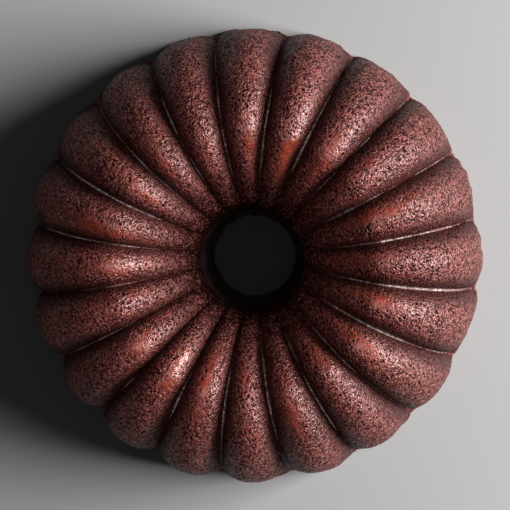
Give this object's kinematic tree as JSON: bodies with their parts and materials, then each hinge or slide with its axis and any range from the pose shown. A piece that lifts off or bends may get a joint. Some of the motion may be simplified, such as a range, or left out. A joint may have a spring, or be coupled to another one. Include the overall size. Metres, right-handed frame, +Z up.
{
  "type": "fluted ring cake",
  "caption": "Dark chocolate ring cake turned out of a fluted tube mould, with a flat base, plump radial flutes and a tapered hole through its centre.",
  "frame": {"origin": "centre of the flat base, on the surface that the cake stands on", "axes": "+Z up along the axis of the centre hole, +X along the top of one flute"},
  "size_m": [0.251, 0.251, 0.08],
  "materials": {
    "crumb": "soft open sponge crumb, fully matt",
    "base_crust": "dry matt baked crust, coarse and slightly cracked",
    "hole_crust": "dark matt baked crust, finely pitted",
    "flute_crust": "satin red-brown baked crust, pitted all over, smoother and glossier on the flute tops"
  },
  "bodies": {
    "root": {"crumb": "crumb", "base_crust": "base_crust", "hole_crust": "hole_crust", "flute_crust_01": "flute_crust", "flute_crust_02": "flute_crust", "flute_crust_03": "flute_crust", "flute_crust_04": "flute_crust", "flute_crust_05": "flute_crust", "flute_crust_06": "flute_crust", "flute_crust_07": "flute_crust", "flute_crust_08": "flute_crust", "flute_crust_09": "flute_crust", "flute_crust_10": "flute_crust", "flute_crust_11": "flute_crust", "flute_crust_12": "flute_crust", "flute_crust_13": "flute_crust", "flute_crust_14": "flute_crust", "flute_crust_15": "flute_crust", "flute_crust_16": "flute_crust", "flute_crust_17": "flute_crust", "flute_crust_18": "flute_crust", "flute_crust_19": "flute_crust", "flute_crust_20": "flute_crust"}
  },
  "joints": []
}
